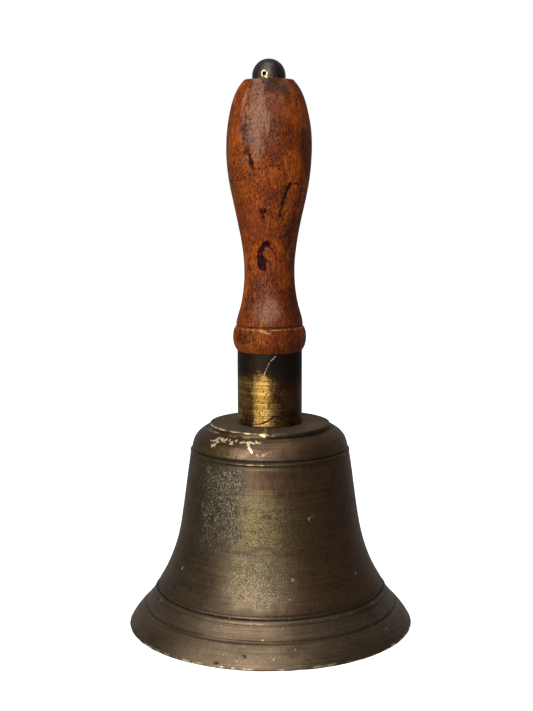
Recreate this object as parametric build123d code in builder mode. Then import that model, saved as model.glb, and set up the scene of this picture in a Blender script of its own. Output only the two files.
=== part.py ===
from build123d import *
import os
from math import cos, radians, sin, sqrt

# A brass hand bell that is rung to give the fire alarm. It stands on its mouth: +Z up along the
# bell's axis, origin at the centre of the mouth, millimetres. The clapper's pin lies along Y, so
# the clapper swings from side to side, along X.

# ---- Driving dimensions ----

# Bell casting
mouth_radius = 70.0         # a 5 1/2 inch bell
crown_top = 100.5           # top of the flat disc that carries the collar
crown_disc_radius = 29.3
crown_thickness = 5.5
rim_round = 0.6
spigot_height = 4.0         # short boss on the crown that centres the collar
spigot_radius = 14.0

# Collar and handle
collar_radius = 15.72       # a 1 1/4 inch brass tube, a little worn
collar_wall = 1.6
collar_length = 35.5
handle_length = 128.9       # bead to top, without the tenon
tenon_length = 30.0
bead_radius = 17.75
grip_waist_radius = 12.12
grip_bulge_radius = 20.43
handle_top_radius = 12.0

# Tie rod and its hardware, 5/16 inch Whitworth
rod_radius = 3.97
rod_bore = 4.4              # clearance hole in the handle and the crown
thread_gap = 0.05           # radial gap between a threaded rod and its nut
dome_nut_radius = 7.93
spanner_hole_radius = 0.9
spanner_hole_depth = 2.2
spanner_hole_height = 2.2   # above the nut's seat
spanner_hole_bearing = -106.0   # degrees from +X, a little left of the front
handle_washer_radius = 9.0
handle_washer_thickness = 1.4
handle_washer_proud = 0.2
leather_radius = 12.0
leather_thickness = 1.5
crown_washer_radius = 11.0
crown_washer_thickness = 1.6
crown_nut_flats = 13.3
crown_nut_thickness = 5.5

# Clapper hanger
yoke_boss_radius = 8.0
yoke_boss_height = 7.0
yoke_half_width = 6.5       # along Y, over both ears
slot_half_width = 2.9
pin_radius = 2.5
pin_fit = 0.06              # radial running clearance
pin_drop = 6.4              # from the slot's floor to the pin
ear_radius = 6.0
pin_head_radius = 4.2
pin_head_thickness = 1.8
pin_washer_thickness = 0.8
split_wire_radius = 0.7

# Clapper
eye_radius = 5.5
eye_half_thickness = 2.6
ball_radius = 14.0
ball_height = 21.5          # centre of the ball above the mouth
ball_flat = 13.2            # centre to each of its two seats
tail_radius = 2.5           # threaded end, through the ball
clapper_nut_flats = 8.0
clapper_nut_thickness = 4.0
tail_end_proud = 1.0

# ---- Heights and radii worked out from them ----
crown_under = crown_top - crown_thickness
collar_top = crown_top + collar_length
handle_top = collar_top + handle_length
washer_under = crown_under - leather_thickness
nut_top = washer_under - crown_washer_thickness
yoke_top = nut_top - crown_nut_thickness
slot_floor = yoke_top - yoke_boss_height
pin_height = slot_floor - pin_drop
dome_nut_seat = handle_top + handle_washer_proud
dome_centre = dome_nut_seat + 1.6
dome_bore_top = dome_nut_seat + 6.5
rod_top = dome_bore_top - 0.7
rod_bottom = slot_floor + 1.0
ball_top_seat = ball_height + ball_flat
ball_under_seat = ball_height - ball_flat
tail_end = ball_under_seat - clapper_nut_thickness - tail_end_proud
pin_end_y = yoke_half_width + 3.6
split_pin_y = yoke_half_width + pin_washer_thickness + 1.2

# ---- Bell casting: one turned profile ----
with BuildPart() as bell_cup:
    with BuildSketch(Plane.XZ):
        with BuildLine():
            # Lip, from the flat ring that it stands on up to the lower groove
            Line((64.6, 0), (mouth_radius - rim_round, 0))
            ThreePointArc((mouth_radius - rim_round, 0), (69.85, 0.2), (mouth_radius, rim_round))
            ThreePointArc((mouth_radius, rim_round), (67.2, 5.1), (63.0, 9.9))
            ThreePointArc((63.0, 9.9), (61.75, 10.3), (61.7, 11.4))
            # Plain band, then the bead and cove under the waist
            ThreePointArc((61.7, 11.4), (59.7, 13.75), (58.0, 16.3))
            Line((58.0, 16.3), (57.55, 16.65))
            ThreePointArc((57.55, 16.65), (57.4, 17.6), (56.7, 18.5))
            ThreePointArc((56.7, 18.5), (55.6, 19.2), (55.35, 20.8))
            # Waist
            Spline(
                (55.35, 20.8), (51.65, 27.4), (48.0, 36.0), (45.1, 45.6),
                (43.0, 57.0), (40.9, 72.3), (38.8, 86.6),
            )
            # Ridge and groove at the shoulder
            ThreePointArc((38.8, 86.6), (39.0, 87.3), (38.5, 88.0))
            ThreePointArc((38.5, 88.0), (37.85, 88.45), (38.05, 89.1))
            # Domed shoulder and the step up to the crown disc
            Spline((38.05, 89.1), (37.2, 92.4), (35.15, 95.5), (31.0, 98.4))
            ThreePointArc((31.0, 98.4), (30.1, 98.2), (crown_disc_radius, 98.7))
            Line((crown_disc_radius, 98.7), (crown_disc_radius, crown_top - 0.35))
            Line((crown_disc_radius, crown_top - 0.35), (crown_disc_radius - 0.35, crown_top))
            Line((crown_disc_radius - 0.35, crown_top), (spigot_radius, crown_top))
            Line((spigot_radius, crown_top), (spigot_radius, crown_top + spigot_height))
            Line((spigot_radius, crown_top + spigot_height), (rod_bore, crown_top + spigot_height))
            Line((rod_bore, crown_top + spigot_height), (rod_bore, crown_under))
            Line((rod_bore, crown_under), (25.0, crown_under))
            # Inside: under the crown, down the waist, out over the thick sound bow
            ThreePointArc((25.0, crown_under), (31.9, 92.6), (35.3, 85.5))
            Spline((35.3, 85.5), (38.2, 64.0), (42.2, 42.5), (47.2, 26.5), (54.6, 12.0), (63.4, 1.2))
            ThreePointArc((63.4, 1.2), (64.0, 0.35), (64.6, 0))
        make_face()
    revolve(axis=Axis.Z)
bell_cup.part.label = "bell_cup"

# ---- Collar: a plain brass tube between the crown and the handle ----
with BuildPart() as collar_tube:
    with BuildSketch(Plane.XY.offset(crown_top)):
        Circle(collar_radius)
        Circle(collar_radius - collar_wall, mode=Mode.SUBTRACT)
    extrude(amount=collar_length)
    chamfer(collar_tube.faces().sort_by(Axis.Z)[-1].edges(), 0.3)
collar_tube.part.label = "collar_tube"

# ---- Turned wooden handle with its tenon inside the collar ----
with BuildPart() as wooden_handle:
    with BuildSketch(Plane.XZ):
        with BuildLine():
            tenon_radius = collar_radius - collar_wall - 0.12
            Line((rod_bore, collar_top - tenon_length), (tenon_radius - 1, collar_top - tenon_length))
            Line((tenon_radius - 1, collar_top - tenon_length), (tenon_radius, collar_top - tenon_length + 1))
            Line((tenon_radius, collar_top - tenon_length + 1), (tenon_radius, collar_top))
            Line((tenon_radius, collar_top), (15.7, collar_top))
            # Bead over the collar, and the groove above it
            Spline(
                (15.7, collar_top), (17.0, 138.3), (bead_radius, 142.3), (17.2, 146.4), (16.35, 148.0),
                tangents=((0.6, 1), (-0.75, 1)),
            )
            ThreePointArc((16.35, 148.0), (15.95, 148.5), (16.15, 149.0))
            # Grip: narrow waist, then the bulge that fills the hand
            Spline(
                (16.15, 149.0), (14.35, 156.4), (grip_waist_radius, 172.0), (14.3, 194.0), (17.85, 210.5),
                (grip_bulge_radius, 233.0), (18.45, 250.6), (handle_top_radius, 264.35),
                tangents=((-0.1, 1), (-1, 1)),
            )
            ThreePointArc((handle_top_radius, 264.35), (11.75, 264.72), (11.2, handle_top))
            Line((11.2, handle_top), (rod_bore, handle_top))
            Line((rod_bore, handle_top), (rod_bore, collar_top - tenon_length))
        make_face()
    revolve(axis=Axis.Z)
    # Recess in the end grain for the washer
    with Locations(Plane.XY.offset(handle_top)):
        CounterBoreHole(
            rod_bore,
            handle_washer_radius + 0.2,
            handle_washer_thickness - handle_washer_proud,
            depth=handle_length + tenon_length,
        )
wooden_handle.part.label = "wooden_handle"

# ---- Tie rod: runs from the clapper's yoke up through the handle ----
with BuildPart() as tie_rod:
    with BuildSketch(Plane.XY.offset(rod_bottom)):
        Circle(rod_radius)
    extrude(amount=rod_top - rod_bottom)
    chamfer(tie_rod.edges().filter_by(GeomType.CIRCLE), 0.5)
tie_rod.part.label = "tie_rod"

# ---- Domed nut at the top, blind, with two pin-spanner holes ----
with BuildPart() as dome_nut:
    with BuildSketch(Plane.XZ):
        with BuildLine():
            Line((rod_radius + thread_gap, dome_nut_seat), (dome_nut_radius, dome_nut_seat))
            Line((dome_nut_radius, dome_nut_seat), (dome_nut_radius, dome_centre))
            CenterArc((0, dome_centre), dome_nut_radius, 0, 90)
            Line((0, dome_centre + dome_nut_radius), (0, dome_bore_top + 1.2))
            Line((0, dome_bore_top + 1.2), (rod_radius + thread_gap, dome_bore_top))
            Line((rod_radius + thread_gap, dome_bore_top), (rod_radius + thread_gap, dome_nut_seat))
        make_face()
    revolve(axis=Axis.Z)
    for bearing in (spanner_hole_bearing, spanner_hole_bearing + 180):
        outward = Vector(cos(radians(bearing)), sin(radians(bearing)), 0)
        mouth = outward * dome_nut_radius + Vector(0, 0, dome_nut_seat + spanner_hole_height)
        with BuildSketch(Plane(origin=mouth, z_dir=outward)):
            Circle(spanner_hole_radius)
        extrude(amount=-spanner_hole_depth, mode=Mode.SUBTRACT)
dome_nut.part.label = "dome_nut"

# ---- Washers: (node name, underside, outer radius, thickness) ----
washers = [
    ("handle_washer", dome_nut_seat - handle_washer_thickness, handle_washer_radius, handle_washer_thickness),
    ("leather_washer", washer_under, leather_radius, leather_thickness),
    ("crown_washer", nut_top, crown_washer_radius, crown_washer_thickness),
]
washer_parts = []
for name, underside, radius, thickness in washers:
    with BuildPart() as washer:
        with BuildSketch(Plane.XY.offset(underside)):
            Circle(radius)
            Circle(rod_radius + 0.25, mode=Mode.SUBTRACT)
        extrude(amount=thickness)
        rims = washer.edges().filter_by(GeomType.CIRCLE).filter_by(lambda e: e.radius > rod_radius + 1)
        chamfer(rims, 0.15)
    washer.part.label = name
    washer_parts.append(washer.part)

# ---- Hexagon nuts: under the crown, and under the clapper's ball ----
hexagon_nuts = [
    ("crown_nut", yoke_top, crown_nut_flats, crown_nut_thickness, rod_radius + thread_gap),
    ("clapper_nut", ball_under_seat - clapper_nut_thickness, clapper_nut_flats, clapper_nut_thickness,
     tail_radius + thread_gap),
]
nut_parts = []
for name, underside, flats, thickness, bore in hexagon_nuts:
    with BuildPart() as nut:
        with BuildSketch(Plane.XY.offset(underside)):
            RegularPolygon(flats / 2, 6, major_radius=False)
        extrude(amount=thickness)
        # The corners are turned off at 30 degrees, above and below
        corner = flats / sqrt(3)
        with BuildSketch(Plane.XZ):
            with BuildLine():
                drop = (corner - flats * 0.48) * sin(radians(30))
                Polyline(
                    (0, underside), (flats * 0.48, underside), (corner, underside + drop),
                    (corner, underside + thickness - drop), (flats * 0.48, underside + thickness),
                    (0, underside + thickness), close=True,
                )
            make_face()
        revolve(axis=Axis.Z, mode=Mode.INTERSECT)
        with BuildSketch(Plane.XY.offset(underside)):
            Circle(bore)
        extrude(amount=thickness, mode=Mode.SUBTRACT)
    nut.part.label = name
    nut_parts.append(nut.part)

# ---- Yoke: screwed on the rod's lower end, two ears for the clapper's pin ----
with BuildPart() as clapper_yoke:
    with BuildSketch(Plane.XZ):
        with Locations((0, pin_height)):
            Circle(ear_radius)
        with Locations((0, (pin_height + yoke_top) / 2)):
            Rectangle(2 * ear_radius, yoke_top - pin_height)
        with Locations((0, yoke_top - yoke_boss_height / 2)):
            Rectangle(2 * yoke_boss_radius, yoke_boss_height)
    extrude(amount=yoke_half_width, both=True)
    with BuildSketch(Plane.XY.offset(pin_height - ear_radius)):
        Circle(yoke_boss_radius)
    extrude(amount=yoke_top - pin_height + ear_radius, mode=Mode.INTERSECT)
    with BuildSketch(Plane.XY.offset(slot_floor)):
        Rectangle(4 * yoke_boss_radius, 2 * slot_half_width)
    extrude(amount=-(pin_drop + ear_radius), mode=Mode.SUBTRACT)
    with BuildSketch(Plane.XY.offset(slot_floor)):
        Circle(rod_radius + thread_gap)
    extrude(amount=yoke_boss_height, mode=Mode.SUBTRACT)
    with BuildSketch(Plane.XZ):
        with Locations((0, pin_height)):
            Circle(pin_radius + pin_fit)
    extrude(amount=yoke_half_width, both=True, mode=Mode.SUBTRACT)
clapper_yoke.part.label = "clapper_yoke"

# ---- Pin, its washer and its split pin ----
with BuildPart() as pivot_pin:
    with BuildSketch(Plane.XZ.offset(-pin_end_y)):
        with Locations((0, pin_height)):
            Circle(pin_radius)
    extrude(amount=pin_end_y + yoke_half_width + pin_head_thickness)
    with BuildSketch(Plane.XZ.offset(yoke_half_width)):
        with Locations((0, pin_height)):
            Circle(pin_head_radius)
    extrude(amount=pin_head_thickness)
    with BuildSketch(Plane(origin=(0, split_pin_y, pin_height))):
        Circle(split_wire_radius + 0.1)
    extrude(amount=pin_radius, both=True, mode=Mode.SUBTRACT)
    pin_ends = pivot_pin.faces().sort_by(Axis.Y)
    chamfer([pin_ends[0].edges(), pin_ends[-1].edges()], 0.4)
pivot_pin.part.label = "pivot_pin"

with BuildPart() as pin_washer:
    with BuildSketch(Plane.XZ.offset(-yoke_half_width)):
        with Locations((0, pin_height)):
            Circle(pin_head_radius + 0.3)
            Circle(pin_radius + 0.15, mode=Mode.SUBTRACT)
    extrude(amount=-pin_washer_thickness)
pin_washer.part.label = "pin_washer"

with BuildPart() as split_pin:
    legs_end = pin_height - pin_radius - 3.0
    eye_centre = pin_height + pin_radius + 1.9
    with BuildSketch(Plane(origin=(0, split_pin_y, legs_end))):
        Circle(split_wire_radius)
    extrude(amount=eye_centre - 1.2 - legs_end)
    with BuildSketch(Plane.XY.offset(eye_centre)):
        with Locations((1.3, split_pin_y)):
            Circle(0.55)
    revolve(axis=Axis((0, split_pin_y, eye_centre), (0, 1, 0)))
split_pin.part.label = "split_pin"

# ---- Clapper: forged rod with an eye, and an iron ball held by a nut ----
with BuildPart() as clapper_rod:
    with BuildSketch(Plane.XZ):
        with BuildLine():
            Polyline(
                (0, pin_height - pin_radius), (eye_half_thickness, pin_height - pin_radius),
                (eye_half_thickness, pin_height - ear_radius - 1.0), (3.7, ball_top_seat + 3.0),
                (4.3, ball_top_seat + 1.2), (4.3, ball_top_seat), (tail_radius, ball_top_seat),
                (tail_radius, tail_end + 0.5), (tail_radius - 0.5, tail_end), (0, tail_end), close=True,
            )
        make_face()
    revolve(axis=Axis.Z)
    with BuildSketch(Plane.XZ):
        with Locations((0, pin_height)):
            Circle(eye_radius)
    extrude(amount=eye_half_thickness, both=True)
    with BuildSketch(Plane.XZ):
        with Locations((0, pin_height)):
            Circle(pin_radius + pin_fit)
    extrude(amount=eye_half_thickness, both=True, mode=Mode.SUBTRACT)
clapper_rod.part.label = "clapper_rod"

with BuildPart() as clapper_ball:
    with Locations((0, 0, ball_height)):
        Sphere(ball_radius)
    split(bisect_by=Plane.XY.offset(ball_top_seat), keep=Keep.BOTTOM)
    split(bisect_by=Plane.XY.offset(ball_under_seat), keep=Keep.TOP)
    with BuildSketch(Plane.XY.offset(ball_under_seat)):
        Circle(tail_radius + thread_gap)
    extrude(amount=2 * ball_flat, mode=Mode.SUBTRACT)
clapper_ball.part.label = "clapper_ball"

# ---- One STEP file for each piece ----
os.makedirs("parts", exist_ok=True)
builders = [
    bell_cup, collar_tube, wooden_handle, tie_rod, dome_nut, clapper_yoke,
    pivot_pin, pin_washer, split_pin, clapper_rod, clapper_ball,
]
for piece in [builder.part for builder in builders] + washer_parts + nut_parts:
    export_step(piece, f"parts/{piece.label}.step")
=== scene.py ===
"""A brass hand bell with a turned wooden handle: the looks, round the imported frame.

Helpers work in millimetres and degrees, and a mesh is scaled to metres when it is made.
A bearing is an angle round the bell's axis: 0 is the front (-Y), and 90 is the right side (+X).
"""
import math

import bpy
import numpy as np
from mathutils import Matrix, Vector, noise


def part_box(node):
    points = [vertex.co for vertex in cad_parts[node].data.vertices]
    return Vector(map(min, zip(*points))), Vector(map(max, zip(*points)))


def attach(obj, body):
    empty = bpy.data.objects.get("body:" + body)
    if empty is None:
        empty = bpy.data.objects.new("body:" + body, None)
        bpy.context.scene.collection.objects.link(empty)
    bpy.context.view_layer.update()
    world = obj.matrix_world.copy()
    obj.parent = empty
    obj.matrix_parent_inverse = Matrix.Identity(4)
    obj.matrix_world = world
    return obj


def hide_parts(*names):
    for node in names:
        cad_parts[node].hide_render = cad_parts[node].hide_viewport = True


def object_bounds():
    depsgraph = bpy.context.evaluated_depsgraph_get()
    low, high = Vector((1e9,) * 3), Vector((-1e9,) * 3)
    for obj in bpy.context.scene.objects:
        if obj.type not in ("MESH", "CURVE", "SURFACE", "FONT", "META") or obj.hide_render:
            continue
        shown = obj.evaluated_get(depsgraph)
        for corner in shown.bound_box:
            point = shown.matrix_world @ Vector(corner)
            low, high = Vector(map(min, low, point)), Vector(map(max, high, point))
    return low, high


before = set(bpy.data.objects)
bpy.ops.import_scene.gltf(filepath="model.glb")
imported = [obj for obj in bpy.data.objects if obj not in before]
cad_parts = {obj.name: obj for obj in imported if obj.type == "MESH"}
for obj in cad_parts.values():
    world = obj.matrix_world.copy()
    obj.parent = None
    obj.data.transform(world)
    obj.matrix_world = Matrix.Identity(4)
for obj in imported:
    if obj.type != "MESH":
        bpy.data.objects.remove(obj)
cad_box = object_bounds()

MM = 0.001
BELL, CLAPPER = "bell", "clapper"


def low_high(node):
    """The lowest and highest height of a CAD node, in mm."""
    low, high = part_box(node)
    return low.z / MM, high.z / MM


def half_width(node):
    """Half of a CAD node's width along X, in mm."""
    low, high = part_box(node)
    return (high.x - low.x) / 2 / MM


# -------- outlines
# An outline is an array of (radius, height), counterclockwise: up the outside, down the inside.
# Each part leaves out its own last point, which is the next part's first.

def line(start, end, count=1):
    """Points of a straight run."""
    share = np.arange(count)[:, None] / count
    return np.array(start) * (1 - share) + np.array(end) * share


def arc(start, middle, end, count=8):
    """Points of the circular arc through three points."""
    a, m, b = (complex(*point) for point in (start, middle, end))
    ratio = (b - a) / (m - a)
    centre = a + (m - a) * (ratio - abs(ratio) ** 2) / (2j * ratio.imag)
    turn = np.angle((b - centre) / (a - centre))
    if turn * np.angle((m - centre) / (a - centre)) < 0:
        turn -= math.copysign(2 * math.pi, turn)
    points = centre + (a - centre) * np.exp(1j * turn * np.arange(count) / count)
    return np.column_stack((points.real, points.imag))


def curve(points, count, start=None, end=None):
    """Points of a cubic spline by chord length; start and end are its end directions."""
    points = np.array(points, float)
    gaps = np.linalg.norm(np.diff(points, axis=0), axis=1)
    knots = np.concatenate(([0], np.cumsum(gaps)))
    matrix = np.zeros((len(points), len(points)))
    right = np.zeros((len(points), 2))
    for i in range(1, len(points) - 1):
        before, after = 1 / gaps[i - 1], 1 / gaps[i]
        matrix[i, i - 1:i + 2] = before, 2 * (before + after), after
        right[i] = 3 * ((points[i] - points[i - 1]) * before ** 2 + (points[i + 1] - points[i]) * after ** 2)
    for row, beside, chord, direction in (
        (0, 1, (points[1] - points[0]) / gaps[0], start),
        (-1, -2, (points[-1] - points[-2]) / gaps[-1], end),
    ):
        if direction is None:
            matrix[row, row], matrix[row, beside], right[row] = 2, 1, 3 * chord
        else:
            matrix[row, row], right[row] = 1, np.array(direction) / np.hypot(*direction)
    slopes = np.linalg.solve(matrix, right)
    where = knots[-1] * np.arange(count) / count
    i = np.searchsorted(knots, where, side="right") - 1
    gap = gaps[i][:, None]
    s = (where - knots[i])[:, None] / gap
    return (
        (1 + 2 * s) * (1 - s) ** 2 * points[i] + s * (1 - s) ** 2 * gap * slopes[i]
        + s ** 2 * (3 - 2 * s) * points[i + 1] - s ** 2 * (1 - s) * gap * slopes[i + 1]
    )


def rounded(points, radius, count=5):
    """A closed outline of straight runs with each corner rounded off."""
    points = np.array(points, float)
    parts = []
    for before, corner, after in zip(np.roll(points, 1, axis=0), points, np.roll(points, -1, axis=0)):
        sides = before - corner, after - corner
        lengths = [np.hypot(*side) for side in sides]
        reach = min(radius, 0.45 * min(lengths))
        first, last = (corner + side / length * reach for side, length in zip(sides, lengths))
        share = np.arange(count + 1)[:, None] / count
        parts.append((1 - share) ** 2 * first + 2 * share * (1 - share) * corner + share ** 2 * last)
    return np.vstack(parts)


def refined(outline, step):
    """The closed outline with points added, so that none are further apart than step."""
    following = np.roll(outline, -1, axis=0)
    counts = [max(1, math.ceil(np.hypot(*run) / step)) for run in following - outline]
    return np.vstack([line(*run) for run in zip(outline, following, counts)])


# -------- wear on a surface

def ramp(value, low, high):
    """0 at low and 1 at high, with a smooth run between them. Low may be above high."""
    share = np.clip((value - low) / (high - low), 0, 1)
    return share * share * (3 - 2 * share)


def between(value, low, full, end_of_full, high):
    """0 up to low, 1 from full to end_of_full, and 0 again from high on."""
    return ramp(value, low, full) * ramp(value, high, end_of_full)


def most(*marks):
    """The strongest of several marks at each point."""
    return np.maximum.reduce(marks)


class Skin:
    """The points of a surface, in mm, and the marks that may lie on it."""

    def __init__(self, points, outward):
        self.points = points
        self.outward = outward
        self.bearing = np.degrees(np.arctan2(points[:, 0], -points[:, 1]))
        self.height = points[:, 2]
        self.radius = np.hypot(points[:, 0], points[:, 1])
        self.fields = {}

    def noise(self, size, seed=0, octaves=3, stretch=(1, 1, 1)):
        """Smooth noise of about -1 to 1, with features of that size in mm."""
        places = self.points / (size * np.array(stretch)) + seed * 17.3
        values = [noise.fractal(place, 1.0, 2.0, octaves) for place in places.tolist()]
        return np.array(values) * 1.6

    def offset(self, bearing, height):
        """Distances round and up from a place on the surface, in mm."""
        turn = (self.bearing - bearing + 180) % 360 - 180
        return np.radians(turn) * self.radius, self.height - height

    def blot(self, at, size, lean=0, ragged=0.0, soft=0.5, seed=1):
        """1 inside an oval mark and 0 outside. Size is its half width and half height in mm."""
        across, up = self.offset(*at)
        tilt = math.radians(lean)
        along_x = across * math.cos(tilt) - up * math.sin(tilt)
        along_z = across * math.sin(tilt) + up * math.cos(tilt)
        reach = np.hypot(along_x / size[0], along_z / size[1])
        if ragged:
            reach = reach + ragged * self.noise(min(size) * 1.2, seed)
        return ramp(reach, 1 + soft / 2, 1 - soft / 2)

    def blots(self, *rows):
        """Several oval marks, each (strength, at, size, lean, ragged, soft, seed)."""
        return most(*(strength * self.blot(*row) for strength, *row in rows))

    def scratch(self, route, width, soft=1.0, ragged=0.0):
        """1 along a line through places on the surface, 0 at its width from it."""
        nearest = np.full(len(self.points), 1e3)
        for start, end in zip(route, route[1:]):
            across, up = self.offset(*start)
            turn = math.radians(end[0] - start[0])
            run_x, run_z = turn * self.radius, end[1] - start[1]
            share = np.clip((across * run_x + up * run_z) / (run_x ** 2 + run_z ** 2 + 1e-9), 0, 1)
            nearest = np.minimum(nearest, np.hypot(across - share * run_x, up - share * run_z))
        if ragged:
            nearest = nearest + ragged * width * self.noise(width * 1.3, 2)
        return ramp(nearest, width, width * (1 - soft))

    def ring(self, height, half_width):
        """1 at a height and 0 at half_width above and below it."""
        return ramp(np.abs(self.height - height), half_width, 0)

    def sector(self, first, last, soft):
        """1 between two bearings and 0 beyond them."""
        turn = (self.bearing - (first + last) / 2 + 180) % 360 - 180
        return ramp(np.abs(turn), (last - first) / 2 + soft, (last - first) / 2)


# -------- meshes

def linked(name, data):
    """A new object in the scene."""
    made = bpy.data.objects.new(name, data)
    bpy.context.scene.collection.objects.link(made)
    return made


def piece_from(name, points, faces, fields, sharp):
    """A mesh object from points in mm. Fields are stored for its material to read."""
    mesh = bpy.data.meshes.new(name)
    mesh.from_pydata((np.asarray(points) * MM).tolist(), [], faces)
    for field, values in fields.items():
        mesh.attributes.new(field, "FLOAT", "POINT").data.foreach_set("value", values.astype(np.float32))
    mesh.shade_smooth()
    mesh.set_sharp_from_angle(angle=math.radians(sharp))
    mesh.validate()
    return linked(name, mesh)


def lathe(name, outline, segments, wear, sharp=50):
    """A turned piece. wear(skin) returns how far each point moves out along its normal, in mm.
    An outline that starts and ends on the axis is open, and any other is closed."""
    closed = outline[0, 0] > 1e-6
    ahead, behind = np.roll(outline, -1, axis=0), np.roll(outline, 1, axis=0)
    if not closed:
        ahead[-1], behind[0] = outline[-1], outline[0]
    travel = ahead - behind
    normals = np.column_stack((travel[:, 1], -travel[:, 0]))
    normals /= np.hypot(normals[:, 0], normals[:, 1])[:, None] + 1e-12
    bearings = 2 * math.pi * np.arange(segments) / segments
    points, outward, rings = [], [], []
    for (radius, height), (out, up) in zip(outline, normals):
        turns = bearings if radius > 1e-6 else bearings[:1]
        rings.append(sum(map(len, points)) + np.arange(segments) % len(turns))
        sines, cosines = np.sin(turns), np.cos(turns)
        points.append(np.column_stack((radius * sines, -radius * cosines, np.full(len(turns), height))))
        outward.append(np.column_stack((out * sines, -out * cosines, np.full(len(turns), up))))
    skin = Skin(np.vstack(points), np.vstack(outward))
    moved = skin.points + skin.outward * wear(skin)[:, None]
    faces = []
    for low, high in zip(rings, rings[1:] + rings[:1] if closed else rings[1:]):
        for a, b, c, d in zip(low, np.roll(low, -1), np.roll(high, -1), high):
            faces.append(list(dict.fromkeys(map(int, (a, b, c, d)))))
    return piece_from(name, moved, faces, skin.fields, sharp)


def forged(name, node, voxel, smoothing, wear=None, sharp=60):
    """A piece with a CAD node's shape, its edges softened, and worn as lathe's pieces are."""
    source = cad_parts[node].copy()
    source.data = source.data.copy()
    bpy.context.scene.collection.objects.link(source)
    weld = source.modifiers.new("weld", "WELD")
    weld.merge_threshold = 0.002 * MM
    remesh = source.modifiers.new("remesh", "REMESH")
    remesh.mode, remesh.voxel_size, remesh.adaptivity = "VOXEL", voxel * MM, 0
    relax = source.modifiers.new("relax", "SMOOTH")
    relax.iterations, relax.factor = smoothing, 0.5
    graph = bpy.context.evaluated_depsgraph_get()
    mesh = bpy.data.meshes.new_from_object(source.evaluated_get(graph))
    bpy.data.objects.remove(source)
    count = len(mesh.vertices)
    points, outward = np.empty(count * 3), np.empty(count * 3)
    mesh.vertices.foreach_get("co", points)
    mesh.vertex_normals.foreach_get("vector", outward)
    skin = Skin(points.reshape(-1, 3) / MM, outward.reshape(-1, 3))
    moved = skin.points
    if wear:
        moved = moved + skin.outward * wear(skin)[:, None]
    faces = [list(polygon.vertices) for polygon in mesh.polygons]
    return piece_from(name, moved, faces, skin.fields, sharp)


def finished(piece, body, slot, material, *nodes):
    """Rides the piece on its body, with its material, in place of its CAD nodes."""
    piece.data.materials.append(material)
    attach(piece, body)
    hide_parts(*nodes)


# -------- materials

def tone(code):
    """A screen colour such as "8c6a3c" as linear RGBA."""
    values = [int(code[i:i + 2], 16) / 255 for i in (0, 2, 4)]
    return [v / 12.92 if v <= 0.04045 else ((v + 0.055) / 1.055) ** 2.4 for v in values] + [1.0]


class Nodes:
    """The node tree of a material or of the world."""

    def __init__(self, owner):
        owner.use_nodes = True
        self.tree = owner.node_tree

    def put(self, socket, value):
        """Links a node's output to a socket, or sets the socket to a value or a screen colour."""
        if isinstance(value, bpy.types.NodeSocket):
            self.tree.links.new(value, socket)
        else:
            socket.default_value = tone(value) if isinstance(value, str) else value

    def node(self, kind, inputs, **settings):
        """Adds a shader node and returns its outputs."""
        made = self.tree.nodes.new("ShaderNode" + kind)
        for key, value in settings.items():
            setattr(made, key, value)
        for key, value in inputs.items():
            self.put(made.inputs[key], value)
        return made.outputs


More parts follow.
